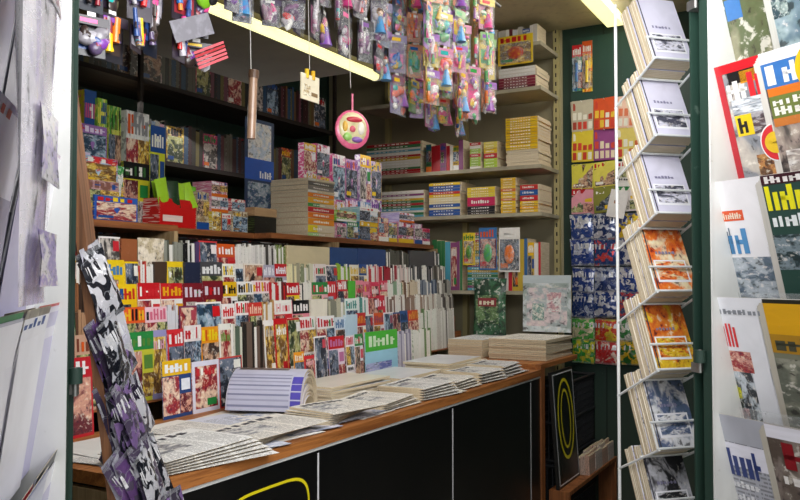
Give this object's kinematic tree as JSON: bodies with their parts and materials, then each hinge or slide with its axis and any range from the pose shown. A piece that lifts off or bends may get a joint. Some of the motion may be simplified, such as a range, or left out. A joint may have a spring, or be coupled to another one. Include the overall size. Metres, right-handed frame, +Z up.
{
  "type": "newspaper kiosk",
  "caption": "Walk-in street newspaper kiosk with a canted corner entrance, two hinged magazine display leaves, sales counter and stocked shelves.",
  "frame": {"origin": "on the ground under the middle of the kiosk's rectangle", "axes": "+X along the counter away from the entrance, +Y from the counter towards the back wall, +Z up"},
  "size_m": [4.402, 3.7239, 3.17],
  "materials": {
    "aluminium_channel": "satin",
    "black_sign": "glossy",
    "brown_wood": "varnished",
    "clear_wrap": "glossy",
    "cream_metal": "satin",
    "cream_panel": "satin",
    "dark_plastic": "matt",
    "dark_shelf": "matt",
    "deck": "matt",
    "foil": "glossy",
    "green_metal": "satin",
    "grey_metal": "matt",
    "grey_shelf": "matt",
    "lamp_glass": "frosted",
    "olive_panel": "matt",
    "pale_board": "matt",
    "printed_card": "card",
    "printed_paper": "paper",
    "steel": "brushed",
    "toy_packs": "glossy",
    "white_metal": "satin",
    "white_plastic": "satin",
    "white_wire": "glossy"
  },
  "bodies": {
    "kiosk": {"back_shelf_goods": "printed_card", "back_shelves": "dark_shelf", "back_wall": "green_metal", "bent_pile": "printed_paper", "book_stacks": "printed_paper", "ceiling": "cream_panel", "corner_posts": "green_metal", "counter_carcass": "pale_board", "counter_channel": "aluminium_channel", "counter_edge": "brown_wood", "counter_flap": "brown_wood", "counter_papers": "printed_paper", "counter_post": "brown_wood", "counter_signs": "black_sign", "counter_top": "brown_wood", "crates": "dark_plastic", "end_shelf_goods": "printed_card", "end_shelves": "grey_shelf", "entrance_lintel": "green_metal", "fascia": "cream_metal", "flap_stock": "printed_paper", "floor_deck": "deck", "foil_sachets": "foil", "front_wall": "green_metal", "hanging_packets": "toy_packs", "hanging_rails": "steel", "hanging_toys": "toy_packs", "hinge_pins": "steel", "hung_novelties": "toy_packs", "lamp_holders": "white_plastic", "lamps": "lamp_glass", "leaning_board": "black_sign", "left_wall": "green_metal", "low_shelf": "brown_wood", "low_shelf_papers": "printed_paper", "overhead_locker": "olive_panel", "peg_panel": "green_metal", "print_packs": "printed_paper", "rack_magazines": "printed_paper", "rack_stands": "pale_board", "rack_steps": "brown_wood", "right_wall": "green_metal", "roof": "grey_metal", "sachet_board": "brown_wood", "shelf_goods": "printed_card", "side_sheets": "printed_card", "toy_shelf": "brown_wood", "wire_rack": "white_wire"},
    "left_leaf": {"left_leaf_holders": "white_metal", "left_leaf_lining": "white_metal", "left_leaf_magazines": "printed_paper", "left_leaf_tray": "green_metal", "hanging_pack": "clear_wrap"},
    "right_leaf": {"right_leaf_holders": "white_metal", "right_leaf_lining": "white_metal", "right_leaf_magazines": "printed_paper", "right_leaf_tray": "green_metal"}
  },
  "joints": [
    {"name": "left_leaf_hinge", "type": "hinge", "parent": "kiosk", "child": "left_leaf", "pos_m": [-1.7452, -0.51915, 0], "axis": [0, 0, 1], "range_deg": [-15, 90]},
    {"name": "right_leaf_hinge", "type": "hinge", "parent": "kiosk", "child": "right_leaf", "pos_m": [-0.88415, -1.3802, 0], "axis": [0, 0, 1], "range_deg": [-100, 5]}
  ]
}
